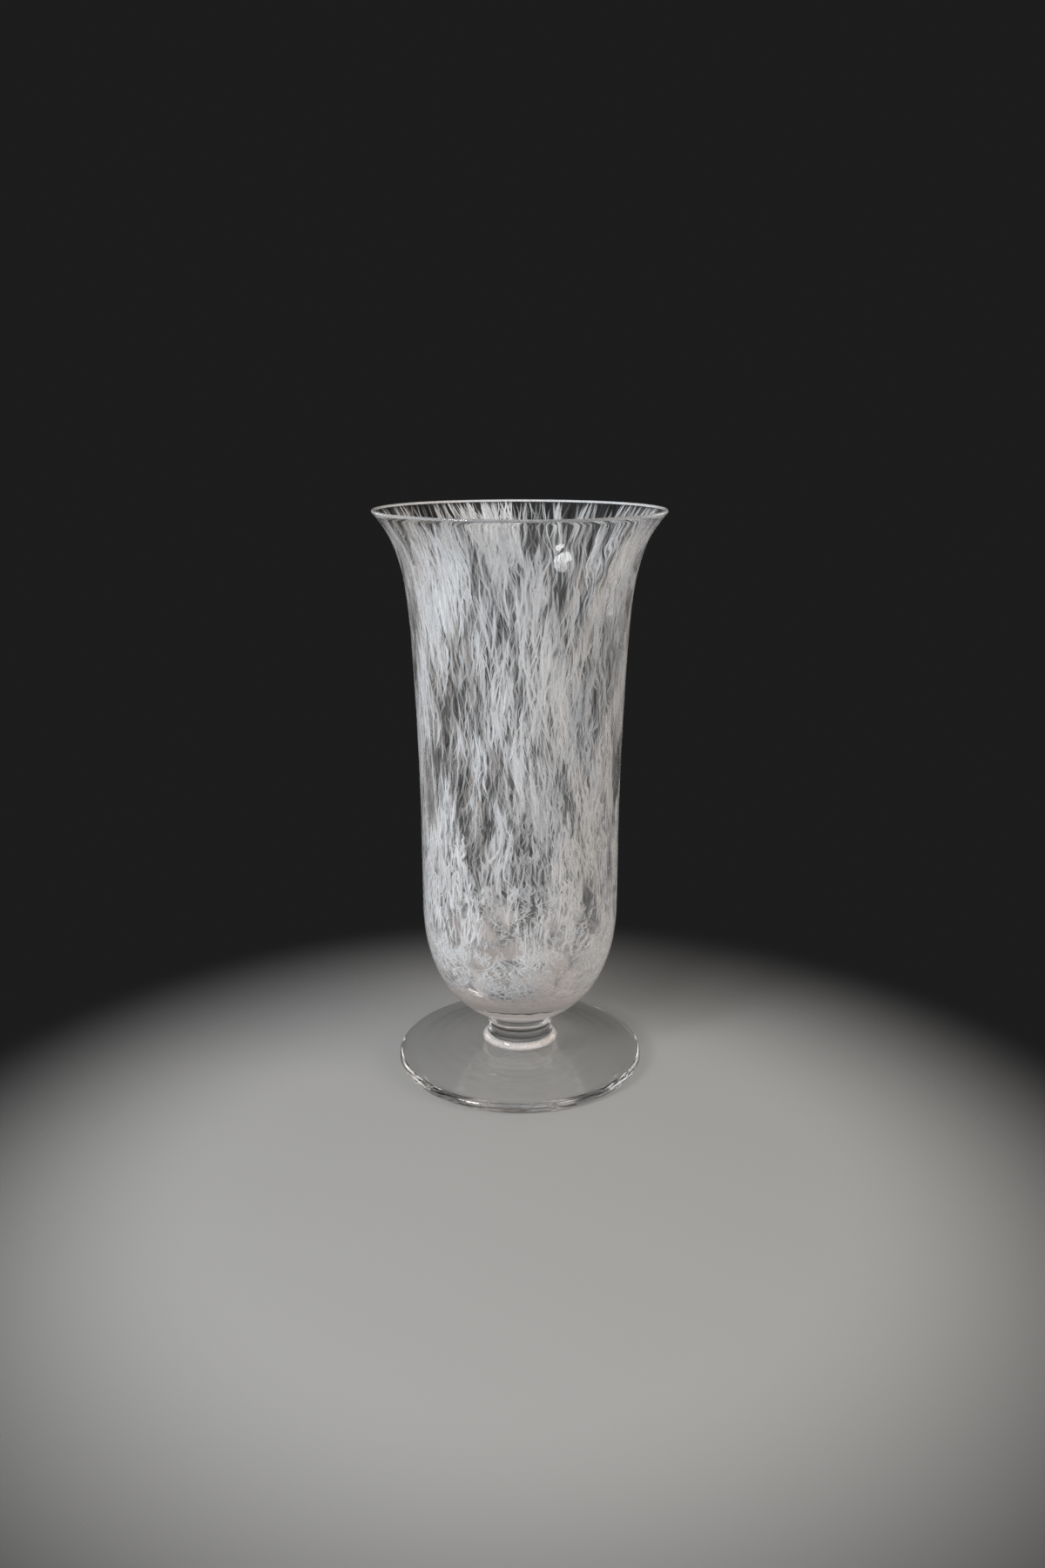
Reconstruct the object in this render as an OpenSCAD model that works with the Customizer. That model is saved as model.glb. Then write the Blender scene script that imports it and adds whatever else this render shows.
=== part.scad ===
// Footed blown-glass flower vase.
// A trumpet bowl of two clear gathers holds white glass chips that were drawn out into streaks as it was blown.
// A short solid stem joins the bowl's thick base to a shallow conical foot.
// The vase stands on the foot's rim, with its axis up Z and its origin at the centre of what it stands on.

/* [Bowl] */
// Height of the whole vase, from what it stands on to the top of the lip
height = 215; // [200:1:240]
// Diameter of the bowl at its waist, outside
waist_d = 75.2; // [70:0.2:82]
// Height at which the wall starts to spread
waist_z = 101; // [92:1:115]
// How far the wall's slow taper has spread at the lip, on each side
taper_spread = 4.5; // [3:0.1:7]
// How much further the lip flares, on each side
lip_flare = 10.6; // [7:0.1:14]
// Height at which the rounded bottom starts
shoulder_z = 67; // [60:1:80]
// Thickness of the wall up to the waist
wall_t = 2.4; // [2.1:0.1:3.2]
// Thickness of the lip
lip_t = 1.2; // [1:0.1:1.8]
// Height of the lowest point inside the bowl
floor_z = 31; // [28:1:38]
// Thickness of the lining at the bowl's floor
lining_t = 1.2; // [0.8:0.1:2]

/* [Streaks] */
// Number of white streaks in one row round the wall
streaks_round = 30; // [16:1:34]
// Height of one row of streaks along the wall
streak_pitch = 16; // [15.5:0.5:24]
// Length of the longest streak
streak_len = 15; // [8:0.5:15]
// Width of the widest streak
streak_w = 1.9; // [0.8:0.1:2.2]
// Thickness of a streak at its middle
streak_t = 0.18; // [0.1:0.01:0.2]
// Space between the two clear gathers that the streaks lie in
streak_gap = 0.34; // [0.34:0.02:0.5]

/* [Stem] */
// Diameter of the stem at its narrowest
stem_d = 24.8; // [23:0.2:25.2]
// Diameter of the stem's top, where the bowl sits on it
stem_top_d = 25.8; // [25.6:0.2:30]
// Height of the stem
stem_h = 11.1; // [9:0.1:13]
// Radius of the fillet at the stem's foot
stem_fillet_r = 2.8; // [1.5:0.1:3.6]

/* [Foot] */
// Diameter of the foot
foot_d = 96.2; // [86:0.2:110]
// Thickness of the foot's rounded rim
foot_rim_t = 4.2; // [3:0.1:5]
// Height of the seat on the foot that the stem stands on
foot_seat_z = 8.9; // [7.5:0.1:11]
// Width of the flat ring that the vase stands on
foot_ring_w = 4; // [2:0.5:6]
// Height of the hollow under the foot at its middle
foot_hollow_h = 3.2; // [2:0.1:4]
// Diameter of the ground mark under the foot, where the vase was held while its lip was finished
pontil_d = 16; // [10:0.5:22]
// Depth of that mark
pontil_h = 0.7; // [0.3:0.1:1.2]

/* [Hidden] */
$fn = 144;
clear_tint = [0.93, 0.94, 0.93, 0.35];
white_tint = [0.95, 0.96, 0.98];

// Powers of the curves that the bowl's outline follows
taper_power = 1.45;
flare_power = 8.9;
bottom_power = 2.26;
// Steps along the outline above the shoulder, round the bottom to where the streaks end, and on to the axis
wall_steps = 36;
bottom_steps = 16;
middle_steps = 5;
lip_steps = 8;
step_power = 1.4;

waist_r = waist_d/2;
seat_r = stem_top_d/2;
stem_top_z = foot_seat_z + stem_h;

// The lip is a half round across the wall's end, which leans out with the flare.
// The outer face ends at lip_z, low enough for the round to reach the full height.
// That height and the lean there depend on each other, and settle in this many steps.
lean_steps = 6;
lip_r = lip_t/2;
lip_rise = taper_spread*taper_power + lip_flare*flare_power;
function lean_of_lip(steps) = steps <= 0 ? atan(lip_rise/(height - waist_z))
    : atan(lip_rise/(height - lip_r*(1 + sin(lean_of_lip(steps - 1))) - waist_z));
lip_lean = lean_of_lip(lean_steps);
lip_z = height - lip_r*(1 + sin(lip_lean));

// Above the waist the outer face spreads by two powers of the height: a slow taper and a late flare
function risen(z) = max(0, (z - waist_z)/(lip_z - waist_z));
function outer_r(z) = waist_r + taper_spread*pow(risen(z), taper_power) + lip_flare*pow(risen(z), flare_power);
function lean(z) = atan((taper_spread*taper_power*pow(risen(z), taper_power - 1)
    + lip_flare*flare_power*pow(risen(z), flare_power - 1))/(lip_z - waist_z));

// Each depth is measured into the wall, square to its outer face. Of the clear glass the casing has this share.
casing_share = 0.55;
function thickness(z) = wall_t + (lip_t - wall_t)*risen(z);
function casing_depth(z) = casing_share*(thickness(z) - streak_gap);
function lining_depth(z) = casing_depth(z) + streak_gap;
function in_wall(z, depth) = [outer_r(z) - depth*cos(lean(z)), z + depth*sin(lean(z))];

// Below the shoulder each face is a quarter of a superellipse, where turn goes from 0 at the shoulder to 90 on the axis
function in_bottom(turn, r, drop) = [r*pow(cos(turn), 2/bottom_power), shoulder_z - drop*pow(sin(turn), 2/bottom_power)];
function round_bottom(r, drop, first, last, steps) =
    [for (i = [1:steps]) in_bottom(first + (last - first)*i/steps, r, drop)];

// The outer face is cut off at the stem's top
seat_share = pow(seat_r/waist_r, bottom_power);
seat_turn = acos(sqrt(seat_share));
outer_drop = (shoulder_z - stem_top_z)/pow(1 - seat_share, 1/bottom_power);
inner_r = waist_r - wall_t;
inner_drop = shoulder_z - floor_z;
lining_r = waist_r - lining_depth(shoulder_z);
lining_drop = inner_drop + lining_t;
casing_r = waist_r - casing_depth(shoulder_z);
casing_drop = lining_drop + streak_gap;

// The two gathers meet face to face at the middle of the floor, and again under the lip
middle_turn = 74;
lip_margin_share = 1.2;
layer_top_z = lip_z - lip_margin_share*lip_t;

// Heights from the top of a face down to the shoulder, closest together in the flare
function heights(top) = [for (i = [0:wall_steps]) top - (top - shoulder_z)*pow(i/wall_steps, step_power)];
outer_face = concat(
    [for (z = heights(lip_z)) in_wall(z, 0)],
    round_bottom(waist_r, outer_drop, 0, seat_turn, bottom_steps));
middle_face = round_bottom(lining_r, lining_drop, middle_turn, 90, middle_steps);
casing_inside = concat(
    [for (z = heights(layer_top_z)) in_wall(z, casing_depth(z))],
    round_bottom(casing_r, casing_drop, 0, middle_turn, bottom_steps),
    [in_bottom(middle_turn, lining_r, lining_drop)],
    middle_face);
lining_outside = concat(
    [for (z = heights(layer_top_z)) in_wall(z, lining_depth(z))],
    round_bottom(lining_r, lining_drop, 0, middle_turn, bottom_steps),
    middle_face);
inner_face = concat(
    [for (z = heights(layer_top_z)) in_wall(z, thickness(z))],
    round_bottom(inner_r, inner_drop, 0, 90, bottom_steps + middle_steps));
function backwards(points) = [for (i = [len(points) - 1:-1:0]) points[i]];

// The lip, from the inner face just above the lining, over the round, to the outer face
lip_inside = [for (i = [1:lip_steps])
    let (z = layer_top_z + (lip_z - layer_top_z)*i/lip_steps) in_wall(z, thickness(z))];
lip_round = [for (i = [1:lip_steps - 1])
    in_wall(lip_z, lip_r) + lip_r*[cos(180 - lip_lean - 180*i/lip_steps), sin(180 - lip_lean - 180*i/lip_steps)]];

// Clear inner gather, from just under the lip down to the floor
module bowl_lining() {
    color(clear_tint)
        rotate_extrude()
            polygon(concat(lining_outside, backwards(inner_face)));
}

// Clear outer gather with the thick base, the seat for the stem and the fire-polished lip
module bowl_casing() {
    color(clear_tint)
        rotate_extrude()
            polygon(concat(
                outer_face,
                [[0, stem_top_z]],
                backwards(casing_inside),
                [in_wall(layer_top_z, thickness(layer_top_z))],
                lip_inside,
                lip_round));
}

// White streaks: flat slivers with pointed ends, in the space between the gathers.
// A sliver's way up the wall is its height above the shoulder, and below the shoulder a share of the bottom's turn.
streak_rings = 3;
run_share = 0.8;
bottom_run = run_share*(lining_r + lining_drop);
function layer_point(way) = way >= shoulder_z
    ? in_wall(way, casing_depth(way) + streak_gap/2)
    : in_bottom(90*(shoulder_z - way)/bottom_run, lining_r + streak_gap/2, lining_drop + streak_gap/2);
function layer_out(way) =
    let (along = layer_point(way + streak_t) - layer_point(way - streak_t)) [along.y, -along.x]/norm(along);
function around(point, turn) = [point.x*cos(turn), point.x*sin(turn), point.y];

// Rows of slivers, from the edge of the floor's middle up to the lip.
// A row has fewer of them where the bottom draws in, and they are shorter there.
first_way = shoulder_z - bottom_run*middle_turn/90;
row_count = floor((layer_top_z - first_way)/streak_pitch);
row_pitch = (layer_top_z - first_way)/row_count;
shortest_share = 0.6;
bottom_len_share = 0.6;
sway_share = 0.2;
slant_share = 0.16;
belly_power = 0.6;
function row_size(row) =
    max(1, floor(streaks_round*min(1, layer_point(first_way + row_pitch*(row + 0.5)).x/lining_r)));

// One sliver: its lower end, rings of four corners, and its upper end
function sliver(start, length, turn, slant, width) =
    let (
        last = streak_rings + 1,
        way = [for (k = [0:last]) start + length*k/last],
        mid = [for (w = way) layer_point(w)],
        turns = [for (k = [0:last]) turn + slant*(k/last - 0.5)*length/mid[k].x*180/PI],
        swell = [for (k = [0:last]) pow(sin(180*k/last), belly_power)]
    )
    concat(
        [around(mid[0], turns[0])],
        [for (k = [1:streak_rings])
            let (
                side = width/2*swell[k]/mid[k].x*180/PI,
                deep = layer_out(way[k])*streak_t/2*swell[k]
            )
            each [
                around(mid[k] + deep, turns[k]),
                around(mid[k], turns[k] + side),
                around(mid[k] - deep, turns[k]),
                around(mid[k], turns[k] - side)
            ]
        ],
        [around(mid[last], turns[last])]);

// Triangles of one sliver whose first corner has the number at
function sliver_faces(at) =
    let (top = at + 4*streak_rings + 1)
    concat(
        [for (j = [0:3]) [at, at + 1 + (j + 1)%4, at + 1 + j]],
        [for (k = [0:streak_rings - 2], j = [0:3])
            let (a = at + 1 + 4*k + j, b = at + 1 + 4*k + (j + 1)%4)
            each [[a, b, b + 4], [a, b + 4, a + 4]]],
        [for (j = [0:3]) [top, top - 4 + j, top - 4 + (j + 1)%4]]);

streaks = [for (row = [0:row_count - 1])
    let (
        size = row_size(row),
        low = first_way + row_pitch*row,
        longest = low < shoulder_z ? bottom_len_share*streak_len : streak_len,
        chance = rands(0, 1, 5*size, row + 1)
    )
    for (i = [0:size - 1])
        let (
            length = longest*(shortest_share + (1 - shortest_share)*chance[5*i]),
            start = low + (row_pitch - length)*chance[5*i + 1],
            turn = 360/size*(i + 0.5*(row%2) + sway_share*(2*chance[5*i + 2] - 1)),
            slant = slant_share*(2*chance[5*i + 3] - 1),
            width = streak_w*(shortest_share + (1 - shortest_share)*chance[5*i + 4])
        )
        sliver(start, length, turn, slant, width)];

module white_streaks() {
    color(white_tint)
        polyhedron(
            points = [for (s = streaks) each s],
            faces = [for (i = [0:len(streaks) - 1]) each sliver_faces(i*len(streaks[0]))]);
}

// Short solid stem: a slight waist between the bowl's seat and a fillet onto the foot
stem_r = stem_d/2;
stem_foot_r = seat_r + stem_fillet_r;
fillet_top_z = foot_seat_z + stem_fillet_r;
waist_chord = stem_top_z - fillet_top_z;
waist_sag = seat_r - stem_r;
waist_curve_r = (pow(waist_chord/2, 2) + pow(waist_sag, 2))/(2*waist_sag);
module stem() {
    color(clear_tint)
        rotate_extrude() {
            difference() {
                translate([0, fillet_top_z])
                    square([seat_r, waist_chord]);
                translate([stem_r + waist_curve_r, fillet_top_z + waist_chord/2])
                    circle(waist_curve_r);
            }
            difference() {
                translate([0, foot_seat_z])
                    square([stem_foot_r, stem_fillet_r]);
                translate([stem_foot_r, fillet_top_z])
                    circle(stem_fillet_r);
            }
        }
}

// Shallow conical foot with a rounded rim. Underneath, a flat ring to stand on goes round a domed hollow,
// and the ground mark is a dish in the middle of that.
foot_r = foot_d/2;
rim_r = foot_rim_t/2;
rim_mid_r = foot_r - rim_r;
foot_span = rim_mid_r - stem_foot_r;
foot_fall = foot_seat_z - rim_r;
// Slope of the foot's top, which runs on into the rim's round
foot_slope = atan(foot_fall/foot_span) - asin(rim_r/norm([foot_span, foot_fall]));
ring_inner_r = rim_mid_r - foot_ring_w;
hollow_steps = 16;
hollow = [for (i = [0:hollow_steps])
    let (out_share = i/hollow_steps) [ring_inner_r*out_share, foot_hollow_h*(1 - pow(out_share, 2))]];
pontil_curve_r = (pow(pontil_d/2, 2) + pow(pontil_h, 2))/(2*pontil_h);
module foot() {
    color(clear_tint)
        rotate_extrude()
            difference() {
                union() {
                    polygon(concat(
                        hollow,
                        [
                            [rim_mid_r, 0],
                            [rim_mid_r, rim_r],
                            [rim_mid_r + rim_r*sin(foot_slope), rim_r + rim_r*cos(foot_slope)],
                            [stem_foot_r, foot_seat_z],
                            [0, foot_seat_z]
                        ]));
                    translate([rim_mid_r, rim_r])
                        circle(rim_r);
                }
                translate([0, foot_hollow_h + pontil_h - pontil_curve_r])
                    circle(pontil_curve_r);
            }
}

bowl_lining();
white_streaks();
bowl_casing();
stem();
foot();
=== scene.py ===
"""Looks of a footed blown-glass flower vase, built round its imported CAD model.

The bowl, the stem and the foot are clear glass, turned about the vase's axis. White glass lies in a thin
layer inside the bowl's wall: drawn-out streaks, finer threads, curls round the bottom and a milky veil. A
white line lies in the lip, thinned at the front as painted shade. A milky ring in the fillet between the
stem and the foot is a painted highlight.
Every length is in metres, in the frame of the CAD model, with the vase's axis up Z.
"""

import math
from typing import NamedTuple

import bpy
import numpy as np
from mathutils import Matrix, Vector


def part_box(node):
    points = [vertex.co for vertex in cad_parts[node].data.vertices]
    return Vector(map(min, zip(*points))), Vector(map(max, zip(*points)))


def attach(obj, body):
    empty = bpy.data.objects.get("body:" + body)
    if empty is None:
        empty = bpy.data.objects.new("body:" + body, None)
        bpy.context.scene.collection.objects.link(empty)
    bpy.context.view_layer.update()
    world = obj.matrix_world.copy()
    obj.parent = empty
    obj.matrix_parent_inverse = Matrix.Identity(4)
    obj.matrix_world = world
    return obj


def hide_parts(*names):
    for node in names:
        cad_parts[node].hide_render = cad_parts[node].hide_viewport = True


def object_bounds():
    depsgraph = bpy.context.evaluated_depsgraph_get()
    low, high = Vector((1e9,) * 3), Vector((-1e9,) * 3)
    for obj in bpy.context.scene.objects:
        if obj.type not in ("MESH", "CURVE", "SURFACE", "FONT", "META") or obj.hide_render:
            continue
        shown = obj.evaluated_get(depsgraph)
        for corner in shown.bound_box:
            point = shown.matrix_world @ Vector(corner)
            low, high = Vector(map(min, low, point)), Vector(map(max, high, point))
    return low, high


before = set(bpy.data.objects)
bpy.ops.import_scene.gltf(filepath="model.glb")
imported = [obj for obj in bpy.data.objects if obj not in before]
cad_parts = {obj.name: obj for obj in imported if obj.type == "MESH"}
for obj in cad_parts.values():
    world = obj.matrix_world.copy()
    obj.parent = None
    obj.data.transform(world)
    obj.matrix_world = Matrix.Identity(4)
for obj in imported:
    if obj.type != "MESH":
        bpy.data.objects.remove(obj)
CAD_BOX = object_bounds()
STEM_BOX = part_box("stem")
FOOT_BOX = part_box("foot")

bl_info = {
    "name": "Footed Glass Vase",
    "version": (1, 0, 0),
    "blender": (4, 5, 0),
    "location": "3D View > Sidebar > Vase",
    "description": "Dresses the CAD model of a footed blown-glass vase",
    "category": "Add Mesh",
}

MM = 0.001
TURN = 2 * math.pi
SHARP_EDGE = math.radians(40)
SHARP_SLIVER = math.radians(60)
DISC_POINTS = 6
FACE_SEEDS = {"inside": 3, "outside": 5, "ripples": 11, "foot": 13, "fillet": 17}


def length(name, description, default):
    """A length in metres that a user may change."""
    return bpy.props.FloatProperty(
        name=name, description=description, default=default, min=0.0, precision=5, unit="LENGTH"
    )


def share(name, description, default, most=1.0):
    """A plain number from nought to most."""
    return bpy.props.FloatProperty(
        name=name, description=description, default=default, min=0.0, max=most, precision=3
    )


def count(name, description, default):
    """A whole number from one up."""
    return bpy.props.IntProperty(name=name, description=description, default=default, min=1)


def angle(name, description, degrees):
    """An angle, given in degrees."""
    return bpy.props.FloatProperty(
        name=name, description=description, default=math.radians(degrees), subtype="ANGLE"
    )


def colour(name, description, default):
    """A colour as linear red, green and blue."""
    return bpy.props.FloatVectorProperty(
        name=name, description=description, default=default, size=3, min=0.0, max=1.0, subtype="COLOR"
    )


class VaseBowlSizes(bpy.types.PropertyGroup):
    """Sizes of the bowl's wall and bottom."""

    height: length("Height", "From what the vase stands on to the top of the lip", CAD_BOX[1].z)
    waist_d: length("Waist", "Outside diameter of the bowl at its waist", 75.2 * MM)
    waist_z: length("Taper starts", "Height at which the wall starts to spread", 101 * MM)
    taper_spread: length("Taper", "How far the taper has spread at the lip, each side", 4.5 * MM)
    lip_flare: length("Flare", "How much further the lip flares, each side", 10.6 * MM)
    shoulder_z: length("Shoulder", "Height at which the rounded bottom starts", 67 * MM)
    wall_t: length("Wall", "Thickness of the wall up to the waist", 2.4 * MM)
    lip_t: length("Lip", "Thickness of the lip", 1.2 * MM)
    floor_z: length("Floor", "Height of the lowest point inside the bowl", 31 * MM)
    lining_t: length("Lining", "Clear glass between the floor and the white layer", 1.2 * MM)
    seat_d: length("Seat", "Diameter of the seat on the stem", 25.8 * MM)
    seat_z: length("Seat height", "Height of the seat on the stem", STEM_BOX[1].z)


class VaseFootSizes(bpy.types.PropertyGroup):
    """Sizes of the stem and the foot."""

    stem_d: length("Stem", "Diameter of the stem at its narrowest", 24.8 * MM)
    stem_fillet_r: length("Fillet", "Radius of the fillet at the stem's foot", 2.8 * MM)
    foot_d: length("Foot", "Diameter of the foot", 2 * FOOT_BOX[1].x)
    rim_t: length("Rim", "Thickness of the foot's rounded rim", 4.2 * MM)
    seat_z: length("Foot seat", "Height of the seat that the stem stands on", FOOT_BOX[1].z)
    ring_w: length("Standing ring", "Width of the flat ring that the vase stands on", 4 * MM)
    hollow_h: length("Hollow", "Height of the hollow under the foot", 3.2 * MM)
    pontil_d: length("Ground mark", "Diameter of the ground mark under the foot", 16 * MM)
    pontil_h: length("Mark depth", "Depth of the ground mark", 0.7 * MM)
    ripple_h: length("Ripples", "Depth of the turned ripples on the foot's top", 0.05 * MM)
    ripple_pitch: length("Ripple pitch", "Distance from one ripple to the next", 5.5 * MM)


class VaseStreakLook(bpy.types.PropertyGroup):
    """How much white glass the wall holds, and its shapes."""

    layer_t: length("Layer", "Thickness of the white layer in the wall", 0.34 * MM)
    streak_count: count("Streaks", "Number of broad streaks", 3700)
    streak_len: length("Streak length", "Length of the longest broad streak", 19 * MM)
    streak_w: length("Streak width", "Width of the widest broad streak", 1.65 * MM)
    thread_count: count("Threads", "Number of fine threads", 6000)
    thread_len: length("Thread length", "Length of the longest fine thread", 15 * MM)
    thread_w: length("Thread width", "Width of the widest fine thread", 0.8 * MM)
    curl_count: count("Curls", "Number of curls round the bottom, and as many higher up", 1500)
    curl_len: length("Curl length", "Length of the longest curl", 8.5 * MM)
    curl_w: length("Curl width", "Width of the widest curl", 2.1 * MM)
    wave_h: length("Wave", "How far a curl swings to each side", 0.95 * MM)
    wave_pitch: length("Wave pitch", "Distance from one swing to the next", 4 * MM)
    lip_line_w: length("Lip line", "Width of the white line in the lip, up the wall", 0.95 * MM)
    lip_line_t: length("Lip line thickness", "Its thickness, across the wall", 0.35 * MM)
    lip_line_drop: length("Lip line drop", "How far it lies below the middle of the lip", 0.15 * MM)
    # The milky ring in the stem's fillet is a painted highlight; this is how much it hides.
    fillet_highlight_share: share("Fillet white", "How much the milky ring in the stem's fillet hides", 0.45)
    white: colour("White", "White glass where it is thick", (0.88, 0.885, 0.895))
    thin_white: colour("Thin white", "White glass where it is thin", (0.79, 0.805, 0.835))
    # This colour is also that of the painted highlight in the stem's fillet.
    base_and_fillet_highlight_white: colour("Base white", "Haze round the thick bottom", (0.95, 0.90, 0.885))
    haze: share("Haze", "How much the milky veil hides at its densest", 0.23)
    # The veil is densest, and the streaks least white, on this side: partly the haze's own unevenness,
    # partly painted light standing in for the even light from the right.
    milky_lit_side: angle("Milky side", "From the right to the front, where the veil is densest", 40)
    seed: count("Seed", "Start of the random draws", 7)


class VaseGlassLook(bpy.types.PropertyGroup):
    """Finish of the clear glass."""

    tint: colour("Tint", "Colour of light that has gone through the glass", (0.975, 0.971, 0.964))
    ior: share("Refraction", "Index of refraction of soda glass", 1.5, most=3.0)
    wobble: length("Wobble", "How far the blown surface strays from a true curve", 0.09 * MM)
    steps_round: count("Steps round", "Faces round the vase", 320)


class VaseStageLook(bpy.types.PropertyGroup):
    """Floor, backdrop, lamps and camera."""

    floor: colour("Floor", "Colour of the floor", (0.40, 0.40, 0.395))
    backdrop: colour("Backdrop", "Colour that the floor fades into", (0.012, 0.012, 0.0125))
    fade_front: length("Fade middle", "How far before the vase the floor's middle lies", 0.09)
    fade_start: length("Fade start", "Distance from that middle at which the floor fades", 0.10)
    fade_end: length("Fade end", "Distance from that middle at which it has faded out", 0.235)
    ceiling: share("Ceiling", "How bright the studio's pale ceiling is", 0.12)
    ambient: share("Ambient", "How bright the studio is all round", 0.14)
    camera_x: bpy.props.FloatProperty(
        name="Camera side", description="Distance to the right", default=0.97 * MM, unit="LENGTH"
    )
    camera_back: length("Camera distance", "Distance in front of the vase's axis", 468.7 * MM)
    camera_z: length("Camera height", "Camera's height above the floor", 246.8 * MM)
    camera_pitch: angle("Camera pitch", "How far the camera looks down", 15.97)
    camera_lens: bpy.props.FloatProperty(
        name="Lens", description="Focal length", default=29.56, min=1.0, subtype="DISTANCE_CAMERA"
    )


def level(r, z):
    """A level stretch of a section: those radii, and the height z for each."""
    return r, np.full(len(r), z)


def joined(parts):
    """Radii and heights of the parts of a section, end to end."""
    return [np.concatenate(values) for values in zip(*parts)]


class BowlOutline:
    """Curves of the bowl's wall, as in the CAD model. Heights and ways along the wall may be arrays.

    Above the waist the outer face spreads by two powers of the height: a slow taper and a late flare.
    Below the shoulder each face is a quarter of a superellipse, whose turn goes from nought at the
    shoulder to a right angle on the axis. A way is a height above the shoulder, and below it the
    shoulder's height less a length that grows evenly with that turn. Depths are measured into the wall,
    square to its outer face.
    """

    taper_power = 1.45
    flare_power = 8.9
    bottom_power = 2.26
    casing_share = 0.55
    run_share = 0.8
    middle_turn = math.radians(74)
    lip_margin_share = 1.2
    white_margin_share = 0.1
    lean_rounds = 6

    bottom_points = 34
    wall_points = 84
    wall_crowding = 0.72
    lip_points = 16
    floor_points = 46

    def __init__(self, bowl, layer_t):
        self.bowl = bowl
        self.layer_t = layer_t
        self.waist_r = bowl.waist_d / 2
        self.seat_r = bowl.seat_d / 2
        self.lip_r = bowl.lip_t / 2
        self.lip_rise = bowl.taper_spread * self.taper_power + bowl.lip_flare * self.flare_power
        self.lip_z = bowl.height
        for _ in range(self.lean_rounds):
            self.lip_lean = math.atan(self.lip_rise / (self.lip_z - bowl.waist_z))
            self.lip_z = bowl.height - self.lip_r * (1 + math.sin(self.lip_lean))
        seat_share = (self.seat_r / self.waist_r) ** self.bottom_power
        self.seat_turn = math.acos(math.sqrt(seat_share))
        seat_drop = bowl.shoulder_z - bowl.seat_z
        self.outer_drop = seat_drop / (1 - seat_share) ** (1 / self.bottom_power)
        self.inner_r = self.waist_r - bowl.wall_t
        self.inner_drop = bowl.shoulder_z - bowl.floor_z
        self.layer_r = self.waist_r - self.layer_depth(bowl.shoulder_z)
        self.layer_drop = self.inner_drop + bowl.lining_t + layer_t / 2
        self.bottom_run = self.run_share * (self.layer_r + self.layer_drop)
        self.layer_low = bowl.shoulder_z - self.bottom_run * self.middle_turn / (math.pi / 2)
        self.layer_top = self.lip_z - self.lip_margin_share * bowl.lip_t
        self.white_top = self.lip_z - self.white_margin_share * bowl.lip_t

    def risen(self, z):
        """Share of the height from the waist to the lip."""
        return np.clip((z - self.bowl.waist_z) / (self.lip_z - self.bowl.waist_z), 0, None)

    def outer_r(self, z):
        """Radius of the outer face."""
        up = self.risen(z)
        flare = self.bowl.lip_flare * up**self.flare_power
        return self.waist_r + self.bowl.taper_spread * up**self.taper_power + flare

    def lean(self, z):
        """Angle by which the outer face leans out, from the slope of outer_r."""
        up = self.risen(z)
        taper = self.bowl.taper_spread * self.taper_power * up ** (self.taper_power - 1)
        flare = self.bowl.lip_flare * self.flare_power * up ** (self.flare_power - 1)
        return np.arctan((taper + flare) / (self.lip_z - self.bowl.waist_z))

    def thickness(self, z):
        """Thickness of the wall, which thins evenly from the waist to the lip."""
        return self.bowl.wall_t + (self.bowl.lip_t - self.bowl.wall_t) * self.risen(z)

    def layer_depth(self, z):
        """Depth of the middle of the white layer in the wall."""
        return self.casing_share * (self.thickness(z) - self.layer_t) + self.layer_t / 2

    def in_wall(self, z, depth):
        """Radius and height of the point at that depth, square to the outer face at height z."""
        return self.outer_r(z) - depth * np.cos(self.lean(z)), z + depth * np.sin(self.lean(z))

    def in_bottom(self, turn, r, drop):
        """Radius and height of the point at that turn of a superellipse r wide and drop deep."""
        power = 2 / self.bottom_power
        across = np.clip(np.cos(turn), 0, 1) ** power
        down = np.clip(np.sin(turn), 0, 1) ** power
        return r * across, self.bowl.shoulder_z - drop * down

    def layer_point(self, way, inward=0.0):
        """Radius and height of the white layer at that way, moved inward from its middle."""
        shoulder_z = self.bowl.shoulder_z
        up = np.maximum(way, shoulder_z)
        r_wall, z_wall = self.in_wall(up, self.layer_depth(up) + inward)
        turn = math.pi / 2 * (shoulder_z - np.minimum(way, shoulder_z)) / self.bottom_run
        r_low, z_low = self.in_bottom(turn, self.layer_r - inward, self.layer_drop - inward)
        low = way < shoulder_z
        return np.where(low, r_low, r_wall), np.where(low, z_low, z_wall)

    def section(self):
        """The bowl's closed section: from the axis under the seat out and up the outer face, over the
        lip, down the inner face and along the floor to the axis. Returns radii and heights."""
        bowl = self.bowl
        low = np.linspace(self.seat_turn, 0, self.bottom_points)[1:]
        up_share = np.linspace(0, 1, self.wall_points)[1:] ** self.wall_crowding
        up = bowl.shoulder_z + (self.lip_z - bowl.shoulder_z) * up_share
        down = up[::-1]
        over = np.linspace(-self.lip_lean, math.pi - self.lip_lean, self.lip_points)[1:-1]
        lip_mid = self.in_wall(self.lip_z, self.lip_r)
        floor = np.linspace(0, math.pi / 2, self.floor_points)
        return joined([
            level(np.linspace(0, self.seat_r, DISC_POINTS), bowl.seat_z),
            self.in_bottom(low, self.waist_r, self.outer_drop),
            self.in_wall(up, 0),
            (lip_mid[0] + self.lip_r * np.cos(over), lip_mid[1] + self.lip_r * np.sin(over)),
            self.in_wall(down, self.thickness(down)),
            self.in_bottom(floor, self.inner_r, self.inner_drop),
        ])


def bowl_outline(scene):
    """The outline with the sizes that the scene's values give."""
    return BowlOutline(scene.vase_bowl, scene.vase_streaks.layer_t)


def waves(around, way, table):
    """Sum of sine waves over the wall. Each row of the table is a wave: its height, how often it goes
    round the vase, its length along the wall and its phase."""
    return sum(
        high * np.sin(times * around + TURN * way / long + phase) for high, times, long, phase in table
    )


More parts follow.
